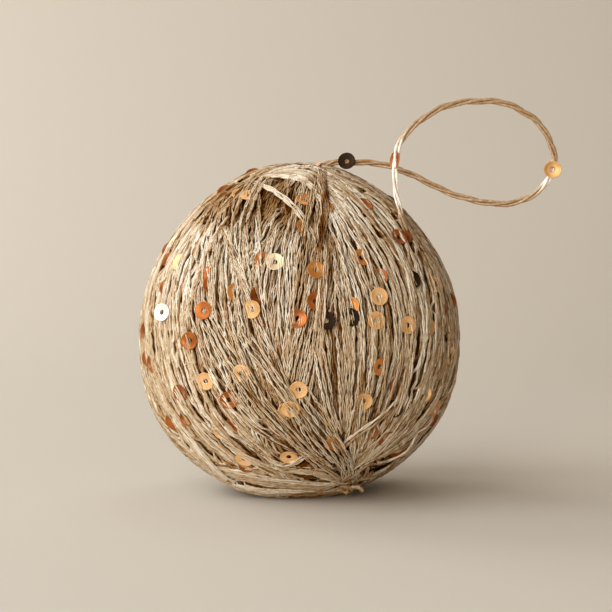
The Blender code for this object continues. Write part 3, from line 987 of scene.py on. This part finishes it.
LOOP_ROUTE = (
    (7.6, -5.2, 76.5), (10.3, -5.4, 76.5), (13, -5.7, 76.5), (16.6, -6, 76.3), (19.5, -6.5, 75.8),
    (23.4, -7.1, 74.5), (27.9, -8.2, 72.4), (32.4, -9.3, 70.1), (37.6, -10.4, 68.2), (43.9, -11.5, 67),
    (48.8, -12, 67.3), (52.9, -12.4, 69.1), (55.6, -12.5, 71.8), (57.2, -12.7, 75.4), (57, -12.8, 79.4),
    (54.3, -12.7, 84.6), (51.1, -12.9, 87.2), (46.2, -13.3, 89.6), (41, -13.4, 90.1), (35.3, -13.8, 89.6),
    (30.4, -14.4, 87.9), (25.6, -14.9, 84.6), (22.8, -15.3, 81.4), (21.5, -15.9, 78), (21.2, -16.4, 72.9),
    (21.4, -16.7, 69.4), (22, -16.9, 66.8),
)
LOOP_ROOTS = ((3, -4.4, 74.8), (22.6, -16.8, 64), (23.6, -16, 60.6))
LOOP_PLY_TURNS = (0.0, 2.1, 4.2)
LOOP_PLY_SIDES = 6
LOOP_PLY_RADIUS = 0.37 * MM
LOOP_PLY_SPREAD = 0.44 * MM
LOOP_PLY_RISE = 0.32 * MM
LOOP_TWIST_PITCH = 17.0 * MM
LOOP_STEP = 0.5 * MM


def soft_step(share, place, steepness):
    """Rises softly from 0 to 1 at this place."""
    return 1.0 / (1.0 + np.exp((place - share) * steepness))


def make_loop(nodes, yarn, foils):
    """The free end of the yarn, three plies twisted round one another, and the three sequins on it."""
    curve = smooth_curve(np.array((LOOP_ROOTS[0], *LOOP_ROUTE, *LOOP_ROOTS[1:])) * MM)
    run = distances(curve)
    along = np.linspace(0.0, run[-1], int(run[-1] / LOOP_STEP) + 1)
    line = points_at(curve, run, along)
    tangents = unit(np.gradient(line, axis=0))
    forward = np.array((0.0, -1.0, 0.0))
    normals = unit(forward - (tangents @ forward)[:, None] * tangents)
    side = np.cross(tangents, normals)
    share = along / along[-1]
    thinned = 1.0 - 0.28 * soft_step(share, 0.90, 60.0)
    # Painted highlight: stretches of the loop made lighter, as if they catch the light
    painted_highlight = np.exp(-(((share - 0.45) / 0.03) ** 2)) + soft_step(share, 0.835, 90.0)
    painted_highlight = painted_highlight - 0.8 * soft_step(share, 0.955, 200.0)
    bundle = Bundle()
    for turn in LOOP_PLY_TURNS:
        angle = TURN * along / LOOP_TWIST_PITCH + turn + 0.5 * np.sin(along / (11 * MM))
        offset = side * (np.cos(angle) * LOOP_PLY_SPREAD)[:, None]
        offset += normals * (np.sin(angle) * LOOP_PLY_RISE)[:, None]
        radius = LOOP_PLY_RADIUS * (1.0 + 0.10 * random.uniform(-1.0, 1.0, len(line))) * thinned
        tone = 0.40 + 0.10 * share + 0.55 * painted_highlight + random.normal(0.0, 0.03)
        bundle.add(line + offset, normals, radius, LOOP_PLY_SIDES, tone, np.zeros(len(line)))
    loop = bundle.build("loop_plies", yarn)
    for number, (foil, faces_way, beside) in enumerate(LOOP_SEQUINS, start=1):
        name = f"loop_sequin_{number}"
        middle = node_middle(nodes[name])
        nearest = np.linalg.norm(line - middle, axis=1).argmin()
        normal = np.array(faces_way)
        normal = unit(normal - (normal @ tangents[nearest]) * tangents[nearest])
        centre = line[nearest] + normal * beside * MM
        dress_sequin(name, centre, tangents[nearest], normal, foils[foil])
    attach(loop, "root")
    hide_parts("hanging_loop")


# Materials

# How much the yarn's tone changes along a strand
MOTTLING = 0.60


def set_inputs(node, settings):
    for socket, value in settings.items():
        node.inputs[socket].default_value = value


def new_material(name, roughness, specular=0.5, metallic=0.0):
    material = bpy.data.materials.new(name)
    material.use_nodes = True
    nodes = material.node_tree.nodes
    shader = nodes["Principled BSDF"]
    set_inputs(shader, {"Roughness": roughness, "Specular IOR Level": specular, "Metallic": metallic})
    return material, nodes, material.node_tree.links, shader


def add_node(nodes, kind, settings):
    node = nodes.new(f"ShaderNode{kind}")
    set_inputs(node, settings)
    return node


def add_ramp(nodes, stops):
    node = add_node(nodes, "ValToRGB", {})
    elements = node.color_ramp.elements
    while len(elements) < len(stops):
        elements.new(0.5)
    for element, (place, colour) in zip(elements, stops):
        element.position = place
        element.color = (*colour, 1.0)
    return node


def add_noise(nodes, links, scale, detail):
    place = add_node(nodes, "TexCoord", {})
    blotches = add_node(nodes, "TexNoise", {"Scale": scale, "Detail": detail})
    links.new(place.outputs["Object"], blotches.inputs["Vector"])
    return blotches.outputs["Fac"]


def yarn_material(name, stops):
    """Silky twisted yarn. Its tone changes from strand to strand and along each one, and carries painted
    shade and painted highlights; lower tones are also less glossy.
    """
    material, nodes, links, shader = new_material(name, roughness=0.26)
    tone = add_node(nodes, "Attribute", {})
    tone.attribute_name = "tone"
    varied = add_node(nodes, "Math", {1: MOTTLING})
    varied.operation = "MULTIPLY_ADD"
    links.new(add_noise(nodes, links, scale=900.0, detail=2.0), varied.inputs[0])
    links.new(tone.outputs["Fac"], varied.inputs[2])
    centred = add_node(nodes, "Math", {1: MOTTLING / 2})
    centred.operation = "SUBTRACT"
    links.new(varied.outputs[0], centred.inputs[0])
    colours = add_ramp(nodes, stops)
    links.new(centred.outputs[0], colours.inputs["Fac"])
    links.new(colours.outputs["Color"], shader.inputs["Base Color"])
    gloss = add_node(nodes, "MapRange", {"From Max": 0.5, "To Max": 0.80})
    links.new(centred.outputs[0], gloss.inputs["Value"])
    links.new(gloss.outputs["Result"], shader.inputs["Specular IOR Level"])
    crimp = add_node(nodes, "Bump", {"Strength": 0.7, "Distance": 0.32 * MM})
    links.new(add_noise(nodes, links, scale=1300.0, detail=2.0), crimp.inputs["Height"])
    links.new(crimp.outputs["Normal"], shader.inputs["Normal"])
    return material


# Colours from the darkest to the lightest tone. Painted shade moves a tone towards the dark end, painted
# highlights towards the light end.
YARN_TONES = (
    (0.00, (0.130, 0.042, 0.006)),
    (0.25, (0.350, 0.180, 0.058)),
    (0.60, (0.600, 0.445, 0.268)),
    (1.00, (0.910, 0.820, 0.680)),
)
LOOP_YARN_TONES = (
    (0.00, (0.180, 0.080, 0.026)),
    (0.40, (0.400, 0.240, 0.110)),
    (0.70, (0.600, 0.430, 0.260)),
    (1.00, (0.960, 0.900, 0.800)),
)

# Colour where it is light and where it is dark, roughness, metallic and specular
FOILS = {
    "gold": ((0.95, 0.58, 0.27), (0.82, 0.46, 0.18), 0.34, 0.3, 0.5),
    "honey": ((0.68, 0.40, 0.17), (0.58, 0.31, 0.11), 0.38, 0.4, 0.3),
    "amber": ((0.76, 0.34, 0.09), (0.60, 0.23, 0.05), 0.38, 0.5, 0.3),
    "copper": ((0.46, 0.140, 0.028), (0.32, 0.085, 0.014), 0.40, 0.5, 0.25),
    # Painted shade: a darker copy of the copper foil, for slivers sunk between the strands
    "painted_shade_copper": ((0.33, 0.095, 0.016), (0.21, 0.052, 0.008), 0.42, 0.4, 0.25),
    # Painted reflection: near black, for sequins that look black by reflecting dark surroundings
    "painted_dark_reflection": ((0.040, 0.020, 0.008), (0.020, 0.010, 0.004), 0.50, 0.0, 0.08),
    # Painted glare: a white foil that stands in for the light reflected in one sequin
    "painted_glare": ((0.97, 0.95, 0.92), (0.93, 0.90, 0.85), 0.30, 0.3, 0.8),
    "pale": ((0.92, 0.76, 0.50), (0.85, 0.66, 0.38), 0.38, 0.4, 0.5),
}


def mottled_material(name, stops, scale, detail, *shine):
    """A material a little uneven in colour, with this roughness, specular and metallic."""
    material, nodes, links, shader = new_material(name, *shine)
    colours = add_ramp(nodes, stops)
    links.new(add_noise(nodes, links, scale, detail), colours.inputs["Fac"])
    links.new(colours.outputs["Color"], shader.inputs["Base Color"])
    return material


def core_material():
    # Dark brown: painted shade for the deepest gaps
    stops = (0.3, (0.10, 0.034, 0.006)), (0.7, (0.20, 0.080, 0.018))
    return mottled_material("yarn_core", stops, 300.0, 2.0, 0.8, 0.1)


def foil_material(name, light, dark, roughness, metallic, specular):
    """Thin metallised film."""
    stops = (0.35, dark), (0.65, light)
    return mottled_material(f"foil_{name}", stops, 500.0, 1.0, roughness, specular, metallic)


# The studio

STAGE_FRONT = -12.0
STAGE_HALF_WIDTH = 8.0
STAGE_TURN = 0.3
STAGE_TURN_RADIUS = 0.5
STAGE_TURN_STEPS = 16
STAGE_TOP = 2.5

# Name, place, size, power and colour
LIGHTS = (
    ("left", (-0.90, -0.10, 0.60), 0.80, 4.0, (0.89, 0.96, 1.0)),
    ("high_left", (-0.65, -0.35, 0.85), 1.10, 3.4, (0.88, 0.95, 1.0)),
    ("front_left", (-0.60, -0.95, 0.60), 1.10, 6.8, (0.96, 0.98, 1.0)),
    ("front_low", (-0.35, -1.00, 0.16), 0.30, 3.6, (1.0, 0.89, 0.74)),
    ("above", (0.15, 0.50, 0.95), 0.50, 0.8, (1.0, 0.98, 0.95)),
    ("back_left", (-0.70, 0.60, 0.60), 0.60, 4.0, (1.0, 0.98, 0.95)),
)


def make_stage():
    """A pale floor that turns up into a backdrop."""
    material, _, _, shader = new_material("stage", roughness=0.8)
    shader.inputs["Base Color"].default_value = (0.600, 0.548, 0.474, 1.0)
    profile = [(STAGE_FRONT, 0.0), (STAGE_TURN, 0.0)]
    for step in range(1, STAGE_TURN_STEPS + 1):
        angle = math.pi / 2 * step / STAGE_TURN_STEPS
        back = STAGE_TURN + STAGE_TURN_RADIUS * math.sin(angle)
        profile.append((back, STAGE_TURN_RADIUS * (1.0 - math.cos(angle))))
    profile.append((STAGE_TURN + STAGE_TURN_RADIUS, STAGE_TOP))
    points = np.array([(x, y, z) for y, z in profile for x in (-STAGE_HALF_WIDTH, STAGE_HALF_WIDTH)])
    faces = np.arange(len(profile) - 1)[:, None] * 2 + np.array((0, 1, 3, 2))[None]
    stage = mesh_object("stage", points, [faces], material)


def area_light(name, place, size, power, colour):
    """A round light that faces the ball."""
    data = bpy.data.lights.new(name, "AREA")
    data.shape = "DISK"
    data.size = size
    data.energy = power
    data.color = colour
    light = add_object(name, data)
    light.location = place
    light.visible_camera = False
    light.rotation_mode = "QUATERNION"
    light.rotation_quaternion = (Vector(CENTRE) - light.location).to_track_quat("-Z", "Y")


def light_studio():
    for light in LIGHTS:
        area_light(*light)
    world = bpy.data.worlds.new("studio")
    world.use_nodes = True
    set_inputs(world.node_tree.nodes["Background"], {"Color": (0.96, 0.73, 0.51, 1.0), "Strength": 0.26})
    bpy.context.scene.world = world
    bpy.context.scene.view_settings.view_transform = "Standard"


CORE_ROWS = 90
CORE_COLUMNS = 180
CORE_FLOOR = 0.3 * MM


def make_core(form, material):
    """The inside of the winding, seen only deep in its gaps, dark brown as painted shade."""
    heights = np.linspace(-math.pi / 2, math.pi / 2, CORE_ROWS + 2)[1:-1]
    turns = np.linspace(0.0, TURN, CORE_COLUMNS, endpoint=False)
    up, around = np.meshgrid(heights, turns, indexing="ij")
    grid = np.stack((np.cos(up) * np.cos(around), np.cos(up) * np.sin(around), np.sin(up)), axis=-1)
    directions = np.concatenate((grid.reshape(-1, 3), [[0.0, 0.0, -1.0], [0.0, 0.0, 1.0]]))
    points = CENTRE + directions * (form.radius(directions) - CORE_DEPTH)[:, None]
    points[:, 2] = np.maximum(points[:, 2], CORE_FLOOR)
    quads = grid_faces(CORE_ROWS, CORE_COLUMNS)[:, (0, 3, 2, 1)]
    column = np.arange(CORE_COLUMNS)
    after = (column + 1) % CORE_COLUMNS
    last = (CORE_ROWS - 1) * CORE_COLUMNS
    pole = np.full(CORE_COLUMNS, CORE_ROWS * CORE_COLUMNS)
    south = np.stack((pole, after, column), axis=-1)
    north = np.stack((pole + 1, last + column, last + after), axis=-1)
    core = mesh_object("winding_core", points, [quads, np.concatenate((south, north))], material)
    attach(core, "root")
    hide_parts("wound_ball")


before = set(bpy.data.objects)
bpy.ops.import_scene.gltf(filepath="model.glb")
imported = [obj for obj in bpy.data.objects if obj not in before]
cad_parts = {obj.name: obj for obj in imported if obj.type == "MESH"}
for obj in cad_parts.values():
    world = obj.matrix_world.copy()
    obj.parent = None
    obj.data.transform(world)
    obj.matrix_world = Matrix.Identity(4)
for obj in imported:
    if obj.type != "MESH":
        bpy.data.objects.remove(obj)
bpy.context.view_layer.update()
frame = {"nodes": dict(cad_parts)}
make_camera()
foils = {name: foil_material(name, *looks) for name, looks in FOILS.items()}
make_loop(frame["nodes"], yarn_material("loop_silk", LOOP_YARN_TONES), foils)
make_stage()
light_studio()
form = Form(frame["nodes"]["wound_ball"])
relief = Relief()
winding = Winding(form, relief)
lay_under_layer(winding)
# Painted shade and painted highlights on the front, for the groups and the first fans
winding.painted_spots = PAINTED_SHADE_AND_HIGHLIGHTS
lay_groups(winding, group_count=36, sizes=(8, 12), lean_limit=1.1 * MM, tone_middle=0.58)
lay_groups(winding, group_count=28, sizes=(4, 8), lean_limit=2.6 * MM, tone_middle=0.64)
lay_front(winding)
placed = place_sequins(winding, frame["nodes"], embedded=True)
placed += place_slivers(winding)
placed += place_sequins(winding, frame["nodes"], embedded=False)
winding.spin()
dress_sequins(placed, winding, foils)
make_core(form, core_material())
yarn = yarn_material("yarn_silk", YARN_TONES)
for number, bundle in enumerate(winding.bundles, start=1):
    piece = bundle.build(f"winding_{number}", yarn, relief)
    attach(piece, "root")
    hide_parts("wound_ball")
